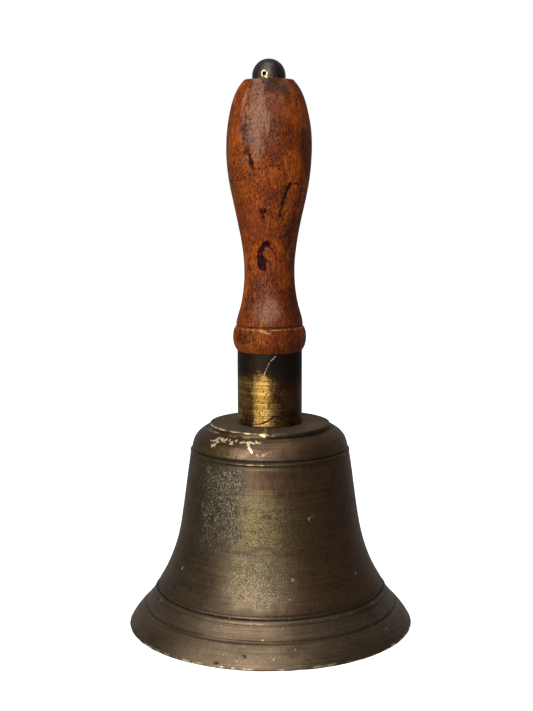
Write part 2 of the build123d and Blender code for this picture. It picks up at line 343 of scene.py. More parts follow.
class Finish(Nodes):
    """A procedural material. Each call adds a node and returns its output. Sizes are in mm."""

    def __init__(self, name):
        self.material = bpy.data.materials.new(name)
        super().__init__(self.material)
        self.shader = self.tree.nodes["Principled BSDF"]
        metres = self.node("TexCoord", {})["Object"]
        self.place = self.node("VectorMath", {0: metres, "Scale": 1 / MM}, operation="SCALE")[0]

    def field(self, name):
        """A value that the mesh holds at its points."""
        return self.node("Attribute", {}, attribute_name=name)["Fac"]

    def noise(self, size, detail=2.0, roughness=0.5, stretch=None, warp=0.0):
        """Cloudy noise of about 0.3 to 0.7, longer along an axis where stretch is above 1."""
        place = self.place
        if stretch:
            place = self.node("Mapping", {"Vector": place, "Scale": [1 / s for s in stretch]})[0]
        inputs = {"Vector": place, "Scale": 1 / size, "Detail": detail}
        inputs |= {"Roughness": roughness, "Distortion": warp}
        return self.node("TexNoise", inputs)[0]

    def cells(self, size):
        """Distance from the middle of scattered cells: 0 in each middle."""
        return self.node("TexVoronoi", {"Vector": self.place, "Scale": 1 / size})[0]

    def calc(self, operation, a, b):
        """A function of two values."""
        return self.node("Math", {0: a, 1: b}, operation=operation)[0]

    def times(self, a, b):
        """The product of two values."""
        return self.calc("MULTIPLY", a, b)

    def total(self, *terms):
        """The sum of (value, weight) pairs."""
        made = 0.0
        for value, weight in terms:
            made = self.node("Math", {0: value, 1: weight, 2: made}, operation="MULTIPLY_ADD")[0]
        return made

    def step(self, value, low, high):
        """0 below low and 1 above high, smooth between them. Low may be above high."""
        inputs = {"Value": value, "From Min": low, "From Max": high}
        return self.node("MapRange", inputs, interpolation_type="SMOOTHSTEP")[0]

    def level(self, share, low, high):
        """A value that runs from low to high as share runs from 0 to 1."""
        return self.node("MapRange", {"Value": share, "To Min": low, "To Max": high})[0]

    def blend(self, share, under, over, strength=1.0):
        """One colour laid over another, where share is 1 and as much as strength says."""
        if strength != 1.0:
            share = self.times(share, strength)
        return self.node("Mix", {0: share, 6: under, 7: over}, data_type="RGBA")[2]

    def coats(self, colour, *coats):
        """A colour with others laid over it in turn, each (share, colour, strength)."""
        for coat in coats:
            colour = self.blend(coat[0], colour, *coat[1:])
        return colour

    def bump(self, height, depth):
        """A bumped normal: a height of 0 to 1 stands for depth in mm."""
        return self.node("Bump", {"Height": height, "Distance": depth * MM, "Strength": 1.0})[0]

    def made(self, colour, roughness, relief=None, depth=0.0, **others):
        """Sets the shader's sockets, with a relief of that depth in mm, and returns the material."""
        sockets = {"base_color": colour, "roughness": roughness, **others}
        if relief is not None:
            sockets["normal"] = self.bump(relief, depth)
        for key, value in sockets.items():
            name = key.replace("_", " ").title().replace("Ior", "IOR")
            self.put(self.shader.inputs[name], value)
        return self.material


def bell_patina():
    """Bronze under a brown patina: brass shows through it in grains, and bare on worn edges. Some of this is
    painted light: a highlight and sheen at the front, a highlight on the crown disc's left edge and shadow
    under it.
    """
    f = Finish("bell_patina")
    gold, pitted, pale, warm, dull = map(f.field, ("gold", "pitted", "pale", "warm", "dull"))
    rubbed, grime_and_shade = f.field("rubbed"), f.field("grime_and_shade")
    grain = f.noise(0.55, detail=3, roughness=0.8)
    sand = f.noise(0.6, detail=2, roughness=0.8)
    coarse = f.noise(2.4, detail=4, roughness=0.65)
    cloud = f.noise(15, detail=4)
    streak = f.noise(0.9, detail=3, stretch=(1, 1, 18))
    turning = f.noise(0.5, detail=2, stretch=(50, 50, 1))
    under = f.blend(f.step(cloud, 0.38, 0.62), "4a3c2e", "584935")
    under = f.blend(f.times(warm, f.level(cloud, 0.6, 1.1)), under, "6a3d24")
    under = f.blend(f.step(f.total((grain, 0.4), (turning, 0.6)), 0.44, 0.62), under, "6a563d", 0.4)
    under = f.blend(f.step(streak, 0.45, 0.68), under, "2c211a", 0.45)
    fine = f.times(f.calc("SUBTRACT", grain, 0.5), f.level(gold, 0.3, 1.4))
    brass = f.blend(f.step(f.total((fine, 1.0), (turning, 0.25)), 0.02, 0.23), "564730", "857450")
    # pale: the metal's own grey-brown on the foot and disc, and painted sheen at the front
    brass = f.blend(pale, brass, "8c7766", 0.85)
    # brass shows where the gold field is high; at the front of the waist that is partly painted highlight
    showing = f.total((gold, 1.0), (pale, 0.25), (fine, 1.0), (coarse, 0.15), (turning, 0.3))
    shown = f.step(showing, 0.29, 0.99)
    tips = f.times(f.step(sand, 0.50, 0.60), f.times(pitted, f.step(coarse, 0.3, 0.6)))
    patchy = f.total((grain, 0.75), (coarse, 0.25))
    speck = f.times(f.step(patchy, 0.485, 0.425), f.step(gold, 0.35, 0.8))
    glint = f.times(f.step(sand, 0.54, 0.62), f.step(f.total((gold, 1.0), (pale, 0.3)), 0.55, 1.0))
    # dark soil, and the painted shadow under the crown disc's edge
    dirt_and_shade = f.step(f.total((grime_and_shade, 1.0), (coarse, 0.4)), 0.45, 1.0)
    bare = f.step(f.total((rubbed, 1.0), (grain, 0.8)), 0.72, 1.05)
    colour = f.coats(
        f.blend(shown, under, brass), (pitted, "2b2923", 0.75), (tips, "a5977a"), (speck, "2d2015", 0.9),
        (glint, "b3a17c", 0.7), (dirt_and_shade, "1d1611"), (bare, "e8d1a0"),
    )
    rough = f.total(
        (grain, 0.2), (dirt_and_shade, 0.14), (bare, -0.14), (turning, 0.1), (0.29, 1.0), (pitted, 0.08), (dull, 0.3),
    )
    metal = f.total((shown, 0.17), (bare, -0.3), (0.8, 1.0))
    relief = f.total(
        (f.times(grain, f.level(f.calc("MAXIMUM", pitted, gold), 0.27, 1.0)), 0.8),
        (turning, 0.10), (coarse, 0.2),
    )
    return f.made(colour, rough, relief, 0.2, metallic=metal)


def collar_patina():
    """Brass tube: bright and pitted below, nearly black under the handle, with painted shade darkening its
    right side.
    """
    f = Finish("collar_patina")
    gold, dark, rubbed, grime_and_shade = map(f.field, ("gold", "dark", "rubbed", "grime_and_shade"))
    grain = f.noise(0.8, detail=3, roughness=0.6)
    cloud = f.noise(7, detail=3)
    turning = f.noise(0.6, detail=2, stretch=(60, 60, 1))
    pits = f.step(f.cells(1.2), 0.38, 0.22)
    # brass showing, cut back on the right side as painted shade
    clean_brass_and_shade = f.step(f.total((gold, 1.0), (grain, 1.0), (cloud, 0.3), (turning, 0.2)), 0.85, 1.45)
    brass = f.blend(f.step(turning, 0.40, 0.62), "a07a3b", "cba358")
    tarnish = f.blend(f.step(cloud, 0.38, 0.62), "3a2216", "4e311d")
    border = f.times(dark, f.calc("SUBTRACT", 1.0, dark))
    holes = f.times(pits, f.step(f.total((cloud, 1.0), (gold, 0.25), (border, 1.2)), 0.52, 0.70))
    # soil in the pits and the crack, and the painted contact shade at the foot
    dirt_and_shade = f.calc("MAXIMUM", f.times(holes, 0.85), grime_and_shade)
    bare = f.step(f.total((rubbed, 1.0), (grain, 0.9)), 0.8, 1.15)
    colour = f.blend(clean_brass_and_shade, tarnish, brass)
    colour = f.coats(colour, (dark, "15120f", 0.9), (dirt_and_shade, "0d0a07"), (bare, "b5a27a"))
    rough = f.total((grain, 0.10), (dark, 0.12), (dirt_and_shade, 0.2), (turning, 0.08), (0.30, 1.0))
    relief = f.total((turning, 0.3), (grain, 0.3), (dirt_and_shade, -0.8))
    metal = f.total((clean_brass_and_shade, 0.25), (dirt_and_shade, -0.4), (dark, -0.25), (0.7, 1.0))
    return f.made(colour, rough, relief, 0.05, metallic=metal, specular_ior_level=0.15)


def varnished_wood():
    """Beech under an old red-brown varnish, with flecks along the grain, painted sheen at the front and
    painted shade on the right.
    """
    f = Finish("varnished_wood")
    scuff_and_sheen, chip, crack = map(f.field, ("scuff_and_sheen", "chip", "crack"))
    smudge, deep, worn = map(f.field, ("smudge", "deep", "worn"))
    figure = f.noise(1.5, detail=4, roughness=0.6, stretch=(1, 1, 14), warp=0.3)
    fibre = f.noise(0.62, detail=3, roughness=0.65, stretch=(1, 1, 5))
    fleck = f.noise(0.7, detail=3, roughness=0.6, stretch=(1, 1, 2))
    mottle = f.noise(1.7, detail=4, roughness=0.7, stretch=(1, 1, 1.8))
    cloud = f.noise(9, detail=4, stretch=(1, 1, 1.8))
    open_grain = f.step(f.total((cloud, 0.6), (mottle, 0.4), (scuff_and_sheen, 0.10)), 0.37, 0.53)
    pores = f.times(f.step(fleck, 0.53, 0.61), open_grain)
    # bare: pale scuffed varnish, which at the front of the grip is painted sheen
    bare = f.step(f.total((scuff_and_sheen, 1.0), (fibre, 1.8), (mottle, 1.0)), 1.6, 2.5)
    soil = f.step(f.total((smudge, 1.0), (fleck, 1.0), (mottle, 1.0)), 1.15, 2.05)
    edge = f.step(f.total((worn, 1.0), (fleck, 0.9)), 0.75, 1.25)
    core = f.step(f.total((chip, 0.8), (fleck, 1.0), (mottle, 1.0)), 1.42, 1.85)
    colour = f.coats(
        f.blend(f.step(figure, 0.34, 0.66), "85390a", "a6500e"),
        # deep: random deeper red patches, and painted shade on the right side
        (f.step(cloud, 0.40, 0.64), "6c300b", 0.55), (f.times(deep, f.level(cloud, 0.6, 1.0)), "571a05"),
        (f.step(mottle, 0.46, 0.62), "55240b", 0.4), (f.step(fibre, 0.49, 0.62), "481c09", 0.6),
        (f.step(fibre, 0.45, 0.34), "bd7430", 0.28), (pores, "2f1307", 0.8), (bare, "956a50", 0.6),
        (soil, "27140d", 0.85), (edge, "b98f58", 0.8),
        (f.step(chip, 0.1, 0.5), f.blend(core, "5c140a", "160506")),
        (f.step(f.total((crack, 1.0), (fleck, 0.6)), 0.5, 1.0), "210d06"),
    )
    rough = f.total(
        (bare, 0.08), (soil, 0.1), (edge, 0.15), (fleck, 0.14), (chip, 0.2), (mottle, 0.2), (0.34, 1.0),
    )
    sheen = f.level(f.step(f.total((scuff_and_sheen, 1.0), (fibre, 2.0), (mottle, 0.8)), 1.3, 2.7), 0.10, 0.42)
    relief = f.total((pores, -0.6), (fibre, 0.5), (mottle, 0.4))
    return f.made(colour, rough, relief, 0.4, specular_ior_level=sheen)


def nut_patina():
    """Brass gone nearly black, rubbed bright in spots."""
    f = Finish("nut_patina")
    rubbed, grime_and_shade = f.field("rubbed"), f.field("grime_and_shade")
    grain = f.noise(0.5, detail=3, roughness=0.6)
    cloud = f.noise(4, detail=3)
    colour = f.blend(f.step(cloud, 0.35, 0.65), "4d4542", "5e544f")
    colour = f.blend(f.step(grain, 0.58, 0.7), colour, "77684f")
    bare = f.step(f.total((rubbed, 1.0), (grain, 0.8)), 0.82, 1.1)
    colour = f.blend(bare, colour, "e6c88a")
    colour = f.blend(grime_and_shade, colour, "0d0907")
    rough = f.total((grain, 0.2), (bare, -0.1), (grime_and_shade, 0.2), (0.30, 1.0))
    relief = f.total((grain, 0.6), (cloud, 0.4))
    return f.made(colour, rough, relief, 0.05, metallic=f.level(grime_and_shade, 0.9, 0.2))


def plain_brass():
    """Dull turned brass."""
    f = Finish("washer_brass")
    grain, cloud = f.noise(0.6, detail=3), f.noise(5, detail=3)
    turning = f.noise(0.4, stretch=(30, 30, 1))
    colour = f.blend(f.step(cloud, 0.35, 0.65), "7a6238", "a58a55")
    colour = f.blend(f.step(grain, 0.56, 0.7), colour, "473722")
    rough = f.total((grain, 0.25), (turning, 0.15), (0.2, 1.0))
    return f.made(colour, rough, f.total((grain, 0.6), (turning, 0.4)), 0.04, metallic=0.95)


def steel(name, light, dark, rust=0.3):
    """Zinc-grey steel with turning marks and a little rust."""
    f = Finish(name)
    grain, cloud = f.noise(0.5, detail=3), f.noise(3.5, detail=4)
    turning = f.noise(0.35, stretch=(20, 20, 1))
    colour = f.blend(f.step(turning, 0.35, 0.65), dark, light)
    rusty = f.step(f.total((cloud, 1.0), (grain, 0.4)), 0.86 - 0.2 * rust, 0.98 - 0.1 * rust)
    colour = f.blend(rusty, colour, f.blend(f.step(grain, 0.4, 0.6), "3c2012", "6b3a1c"))
    rough = f.total((grain, 0.25), (rusty, 0.3), (0.2, 1.0))
    relief = f.total((turning, 0.3), (grain, 0.4), (rusty, 0.5))
    return f.made(colour, rough, relief, 0.05, metallic=f.level(rusty, 1.0, 0.15))


def iron(name, light, dark, rust):
    """Black iron with scale, pits and brown rust. Struck places are bare."""
    f = Finish(name)
    struck = f.field("struck")
    grain, scale = f.noise(0.6, detail=4, roughness=0.6), f.noise(2.8, detail=4, roughness=0.6)
    pits = f.step(f.cells(1.6), 0.30, 0.08)
    colour = f.blend(f.step(scale, 0.38, 0.62), dark, light)
    rusty = f.step(f.total((scale, -1.0), (grain, 0.6)), -0.12 - 0.25 * rust, 0.02 - 0.2 * rust)
    colour = f.blend(rusty, colour, f.blend(f.step(grain, 0.4, 0.62), "2f170c", "6a3516"), 0.75)
    colour = f.blend(pits, colour, "120d0a", 0.6)
    bare = f.step(f.total((struck, 1.0), (grain, 0.6)), 0.6, 0.95)
    colour = f.blend(bare, colour, "a29c92")
    rough = f.total((grain, 0.25), (rusty, 0.22), (bare, -0.22), (0.32, 1.0))
    metal = f.level(f.calc("MAXIMUM", f.calc("SUBTRACT", 1.0, rusty), bare), 0.25, 0.95)
    relief = f.total((grain, 0.5), (scale, 0.5), (pits, -0.6))
    return f.made(colour, rough, relief, 0.18, metallic=metal)


def oiled_leather():
    """Dark oiled leather with a fine grain."""
    f = Finish("oiled_leather")
    creases, cloud = f.cells(0.5), f.noise(3, detail=3)
    colour = f.blend(f.step(cloud, 0.35, 0.65), "2a180e", "4c2f1b")
    colour = f.blend(f.step(creases, 0.5, 0.1), colour, "5d3d25")
    return f.made(colour, f.level(cloud, 0.5, 0.75), creases, 0.12, sheen_weight=0.1)


# -------- the bell

def bell_outline():
    """The casting's turned profile, from the inner edge of its mouth and up the outside."""
    return np.vstack((
        line((64.6, 0), (69.4, 0), 3),
        arc((69.4, 0), (69.85, 0.2), (70, 0.6), 3),
        arc((70, 0.6), (67.2, 5.1), (63.0, 9.9), 20),
        arc((63.0, 9.9), (61.75, 10.3), (61.7, 11.4), 6),
        arc((61.7, 11.4), (59.7, 13.75), (58.0, 16.3), 10),
        line((58.0, 16.3), (57.55, 16.65), 1),
        arc((57.55, 16.65), (57.4, 17.6), (56.7, 18.5), 5),
        arc((56.7, 18.5), (55.6, 19.2), (55.35, 20.8), 6),
        curve((
            (55.35, 20.8), (51.65, 27.4), (48.0, 36.0), (45.1, 45.6), (43.0, 57.0), (40.9, 72.3),
            (38.8, 86.6),
        ), 112),
        arc((38.8, 86.6), (39.0, 87.3), (38.5, 88.0), 6),
        arc((38.5, 88.0), (37.85, 88.45), (38.05, 89.1), 5),
        curve(((38.05, 89.1), (37.2, 92.4), (35.15, 95.5), (31.0, 98.4)), 20),
        arc((31.0, 98.4), (30.1, 98.2), (29.3, 98.7), 5),
        line((29.3, 98.7), (29.3, 100.1), 3),
        arc((29.3, 100.1), (29.18, 100.38), (28.9, 100.5), 3),
        line((28.9, 100.5), (14.0, 100.5), 22),
        line((14.0, 100.5), (14.0, 104.5), 2),
        line((14.0, 104.5), (4.4, 104.5), 2),
        line((4.4, 104.5), (4.4, 95.0), 2),
        line((4.4, 95.0), (25.0, 95.0), 10),
        arc((25.0, 95), (31.9, 92.6), (35.3, 85.5), 8),
        curve(((35.3, 85.5), (38.2, 64.0), (42.2, 42.5), (47.2, 26.5), (54.6, 12.0), (63.4, 1.2)), 44),
        arc((63.4, 1.2), (64.0, 0.35), (64.6, 0), 3),
    ))


def bell_wear(skin):
    """Casting waves, corroded patches, knocks on the rim, and where the patina is thick or gone, with painted
    highlight, sheen and shadow laid in where the light falls.
    """
    outside = ramp(skin.outward[:, 2] + np.hypot(skin.outward[:, 0], skin.outward[:, 1])
                   * np.sign((skin.outward * skin.points)[:, :2].sum(axis=1)), -0.1, 0.1)
    high, height = skin.noise(30, 1), skin.height
    waist = between(height, 20, 24, 84, 87) * outside
    fine = skin.noise(2.2, 2, 3)

    # The patches' edges wander by a few mm
    across = skin.bearing + 4 * skin.noise(8, 3) + 2 * skin.noise(2.5, 4)
    up = height + 2.2 * skin.noise(8, 5) + 1.2 * skin.noise(2.5, 6)
    behind = ramp(np.abs(skin.bearing), 60, 90)

    # Corrosion: a dark pitted patch at upper left, and others behind
    pitted = most(
        between(across, -57, -49, -26, -10) * between(up, 34, 66, 84, 88),
        0.5 * between(across, -28, -18, -2, 20) * between(up, 20, 28, 40, 56),
        0.8 * ramp(skin.noise(26, 7), 0.25, 0.75) * behind,
    ) * waist
    # Brass showing: a tall patch at the front in two lobes, with a wavy dark line between them. The patch is
    # laid and shaped where the key light's highlight falls, so it is partly painted highlight.
    wave = [(-30, 46), (-19, 46.9), (-11, 47.7), (-6, 49.2), (-1, 49.3), (5, 46.5), (14, 46.5)]
    shadow = skin.scratch(wave, 2.0)
    upper = 0.74 * between(across, -24, -15, 0, 44) * ramp(up, 83, 64)
    lower = 0.56 * between(across, -26, -18, 2, 44) * between(up, 19, 26, 44, 48)
    gold = np.maximum(upper * ramp(height, 44, 49), lower) * (1 - 0.7 * shadow)
    around = ramp(high, -0.8, 0.9) * behind
    # painted glint: brass just under the ridge, at the front only, where the light catches it
    gold = np.maximum(gold, 0.45 * skin.sector(-15, 14, 10) * ramp(height, 83.5, 85.5))
    thin = 0.12 + 0.1 * skin.sector(-75, -45, 10) + 0.14 * skin.sector(14, 55, 14) + 0.45 * around
    gold = waist * np.maximum(gold, thin)
    foot = ramp(height, 22, 19) * outside
    gold = np.clip(gold + foot * (0.27 + 0.12 * skin.noise(14, 8)), 0, 1)
    shoulder = ramp(height, 88.5, 90) * outside
    smear = skin.blot((-38, 91.5), (15, 3.2), ragged=0.3, soft=0.8, seed=9)
    gold = np.clip(gold + shoulder * (0.08 + 0.2 * skin.sector(20, 75, 20) + 0.4 * smear), 0, 1)
    disc = ramp(height, 99.9, 100.3) * outside
    gold = gold * (1 - 0.8 * disc)
    # Pale grey-brown: the metal's own tone on the foot and the crown disc, and painted sheen at the front of
    # the lower lobe and of the shoulder
    pale = most(
        0.6 * waist * between(across, -28, -18, -4, 24) * ramp(up, 38, 26),
        0.55 * foot, 0.7 * shoulder * skin.sector(-18, 14, 14), disc,
    )

    # Rubbed edges, flaked spots on the shoulder, nicks, and a painted highlight along the crown disc's edge
    # on the lit left side
    rim = ramp(np.abs(skin.radius - 29.2), 0.6, 0.2) * ramp(height, 99.2, 100)
    ragged = ramp(skin.noise(3.2, 10), -0.5, 0.6)
    edges = most(
        0.6 * skin.ring(87.4, 0.6), 0.5 * skin.ring(17.7, 0.8), 0.35 * skin.ring(11.2, 1.1),
        0.55 * skin.ring(0.9, 1.5), 0.35 * rim,
    ) * outside * (0.45 + 0.55 * ragged) * (0.5 + 0.5 * ramp(skin.noise(20, 11), -0.8, 0.5))
    crumbs = ramp(skin.noise(1.5, 12, 2), -0.2, 0.3)
    flakes_and_rim_highlight = most(
        0.8 * crumbs * skin.blot((-45, 96.2), (5.0, 1.3), ragged=0.5, seed=13),
        0.85 * crumbs * skin.blot((-33, 96.6), (5.5, 1.0), ragged=0.5, seed=14),
        0.7 * crumbs * skin.blot((-47, 93.6), (2.4, 1.0), ragged=0.6, seed=15),
        skin.scratch([(-24, 96.9), (-16, 96.8), (-8, 97.1)], 0.75, 1.0, 0.5),
        skin.scratch([(-17, 96.6), (-16, 94.8), (-13.5, 93.2)], 0.95, 0.8, 0.4),
        0.4 * crumbs * skin.blot((-10, 91.8), (7, 1.6), ragged=0.6, seed=17),
        skin.blot((-5.5, 99.7), (2.4, 0.7), ragged=0.4, seed=18),
        # painted highlight: the crown disc's edge and the lip below it made bright on the lit left side only
        0.62 * skin.sector(-80, -14, 10) * np.maximum(rim, skin.ring(98.35, 0.35)) * (0.6 + 0.4 * ragged),
    ) * shoulder
    knocks = [
        ((25.3, 61.8), 0.8, 0.16), ((12.5, 35.3), 0.7, 0.12), ((55.8, 32.4), 0.8, 0.16),
        ((-60, 34), 0.8, 0.1), ((96, 55), 1.1, 0.2), ((141, 31), 1.4, 0.25), ((-118, 66), 1.0, 0.18),
        ((172, 74), 0.9, 0.15),
        ((-150, 28), 1.3, 0.2), ((-88, 60), 0.8, 0.12), ((118, 80), 0.9, 0.14), ((9.5, 27.1), 0.6, 0.1),
        ((-20.4, 78.5), 0.55, 0.12),
    ]
    nicks, dents = np.zeros(len(height)), np.zeros(len(height))
    for at, size, depth in knocks:
        mark = skin.blot(at, (size, size), ragged=0.3, soft=1.2, seed=19) * outside
        nicks, dents = np.maximum(nicks, mark), dents + depth * mark
    for route in (
        [(25.5, 61.5), (29.5, 63.2)], [(26, 62.6), (29, 63.9)], [(-24.4, 93.8), (-25, 89.6)],
        [(-62, 32), (-60, 37)], [(-35, 31), (-34.2, 35)], [(130, 48), (139, 52)],
        [(-140, 45), (-137, 52)], [(75, 66), (77, 74)], [(201, 60), (208, 63)],
    ):
        mark = skin.scratch(route, 0.9) * outside
        dents = dents + 0.12 * mark
        nicks = np.maximum(nicks, 0.6 * mark)
    chips = ramp(skin.noise(2.4, 20, 2), 0.25, 0.8) * skin.ring(0.5, 1.6) * outside
    flecks = 0.5 * ramp(skin.noise(1.1, 31, 2), 0.8, 1.1) * np.maximum(foot, 0.7 * shoulder * (1 - disc))
    # the rubbed marks include the painted highlight on the crown disc's edge
    rubbed = most(edges, flakes_and_rim_highlight, flecks, 0.62 * nicks, 0.75 * chips)
    notch = skin.blot((0.1, 99.6), (1.6, 1.2), ragged=0.2, seed=21) * shoulder

    # Dark soil in the grooves and inside, and painted shadow: the dark ring under the crown disc's edge, left
    # light on the lit left side
    grime_and_shade = most(
        0.8 * skin.ring(88.5, 0.6), 0.75 * skin.ring(19.0, 1.0),
        0.6 * skin.ring(16.8, 0.7), 0.6 * skin.ring(10.3, 0.7),
        # painted shadow under the crown disc's edge, dark except on the lit left side
        skin.ring(98.6, 0.7) * (1 - 0.7 * skin.sector(-80, -8, 12)),
        skin.blots(
            (0.7, (-10, 5.5), (1.5, 0.9), 0, 0.3, 0.5, 22),
            (0.7, (-21, 2.1), (1.7, 0.7), 0, 0.3, 0.5, 23),
            (0.5, (-1.4, 63.9), (2.4, 1.5), 0, 0.5, 0.5, 24),
        ),
        0.4 * shadow * waist,
        0.7 * skin.scratch([(-24.4, 93.6), (-25, 89.6)], 0.6),
        0.5 * between(across, -34, 4, 10, 85) * ramp(up, 60, 86) * waist,
        0.35 * skin.sector(-30, 10, 10) * ramp(height, 26, 22) * waist,
        0.4 * ramp(skin.noise(9, 25), 0.35, 0.9),
    ) * outside
    grime_and_shade = np.maximum(grime_and_shade, (1 - outside) * (0.12 + 0.3 * skin.noise(12, 26)))
    warm = most(
        0.7 * waist * ramp(up, 68, 86) * skin.sector(2, 75, 24),
        0.5 * skin.sector(12, 78, 14) * (waist + shoulder), shoulder * (0.35 + 0.6 * smear),
        0.6 * ramp(skin.noise(28, 28), 0.1, 0.8) * behind * outside,
    ) * (1 - disc)
    groove = 0.08 * ramp(np.abs(skin.radius - 20.3), 0.5, 0) * disc
    skin.fields = {
        "gold": gold, "pitted": pitted, "pale": pale, "warm": warm, "dull": 0.9 * disc,
        "rubbed": rubbed, "grime_and_shade": np.clip(grime_and_shade, 0, 1),
    }
    bite = ramp(fine, 0.1, 0.9)
    moved = (
        0.10 * high + 0.02 * fine - 0.13 * bite * np.clip(pitted + 0.25 * outside, 0, 1)
        - dents - 0.35 * chips - 0.4 * notch - 0.10 * flakes_and_rim_highlight - groove
        + 0.12 * (1 - outside) * skin.noise(6, 29)
    )
    return moved - np.maximum(moved, 0) * ramp(height, 1.2, 0.3)


def bell_casting():
    piece = lathe("bell_casting", bell_outline(), 330, bell_wear, sharp=60)
    finished(piece, BELL, "bell_brass", bell_patina(), "bell_cup")


# -------- collar and handle

def collar_wear(skin):
    low, high = low_high("collar_tube")
    outside = ramp((skin.outward * skin.points)[:, :2].sum(axis=1), -1, 1)
    height = skin.height
    gold = np.maximum(
        skin.blot((-16, low + 12), (4.6, 13.5), ragged=0.3, soft=0.7, seed=31),
        0.4 * ramp(height, high - 6, high - 14) * (0.5 + 0.5 * ramp(skin.noise(11, 32), -0.4, 0.6))
        # painted shade: less brass showing on the right side, away from the light
        * (1 - 0.6 * skin.sector(30, 100, 26)),
        1.0 * skin.blot((-32, low + 8), (13, 14), ragged=0.3, soft=0.8, seed=37),
    )
    rise = height + 2.5 * skin.noise(4, 33) + 4 * ramp(np.abs(skin.bearing + 15), 12, 40)
    # painted shade: the dark patina made darker on the right side, away from the light
    dark = ramp(rise, low + 20, low + 30) * (0.82 + 0.18 * skin.sector(2, 170, 20))
    slope = [(11, high - 0.8), (7, high - 1.8), (0, high - 3.6), (-6, high - 7), (-10, high - 10)]
    diagonal = skin.scratch(slope, 0.38, 1.0, 0.4)
    crack_route = [
        (-60, 100.9), (-47, 101.1), (-25, 101.9), (-14, 102.5), (-3, 103.7), (4, 105.3), (10, 106.2),
        (18, 105.3), (25, 103.7), (34, 102.4), (45, 101.5),
    ]
    widest = skin.scratch(crack_route[3:9], 0.55, 0.6)
    crack = np.maximum(widest, 0.8 * skin.scratch(crack_route, 0.42, 0.8)) * outside
    wraps = ramp(skin.noise(3, 35), 0.1, 0.8)
    rim = skin.ring(high, 0.8)
    skin.fields = {
        "gold": gold, "dark": dark, "rubbed": np.clip(0.8 * diagonal + 0.3 * rim * wraps, 0, 1),
        # the crack's soil, and a dark ring at the foot that is painted contact shade where the collar meets
        # the crown disc
        "grime_and_shade": np.clip(1.3 * crack + 0.5 * skin.ring(low, 0.9), 0, 1),
    }
    return 0.02 * skin.noise(9, 36) - 0.03 * crack - 0.05 * diagonal - 0.02 * wraps


def collar():
    low, high = low_high("collar_tube")
    outer = half_width("collar_tube")
    wall = 1.6
    corners = [(outer - wall, low), (outer, low), (outer, high), (outer - wall, high)]
    outline = refined(rounded(corners, 0.3), 0.33)
    piece = lathe("brass_collar", outline, 300, collar_wear)
    finished(piece, BELL, "collar_brass", collar_patina(), "collar_tube")


def handle_outline():
    """Tenon, bead, grip and end grain, with the washer's recess and the rod's bore."""
    tenon, bore, recess = 14.0, 4.4, 9.2
    return np.vstack((
        line((bore, 106), (tenon, 106), 3),
        line((tenon, 106), (tenon, 136), 6),
        line((tenon, 136), (15.7, 136), 3),
        curve((
            (15.7, 136), (17.0, 138.3), (17.75, 142.3), (17.2, 146.4), (16.35, 148.0),
        ), 28, (0.6, 1), (-0.75, 1)),
        arc((16.35, 148.0), (15.95, 148.5), (16.15, 149.0), 6),
        curve(
            ((16.15, 149.0), (14.35, 156.4), (12.12, 172.0), (14.3, 194.0), (17.85, 210.5), (20.43, 233.0),
             (18.45, 250.6), (12.0, 264.35)), 236, (-0.1, 1), (-1, 1),
        ),
        arc((12.0, 264.35), (11.75, 264.72), (11.2, 264.9), 4),
        line((11.2, 264.9), (recess, 264.9), 4),
        line((recess, 264.9), (recess, 263.7), 2),
        line((recess, 263.7), (bore, 263.7), 2),
        line((bore, 263.7), (bore, 106), 8),
    ))


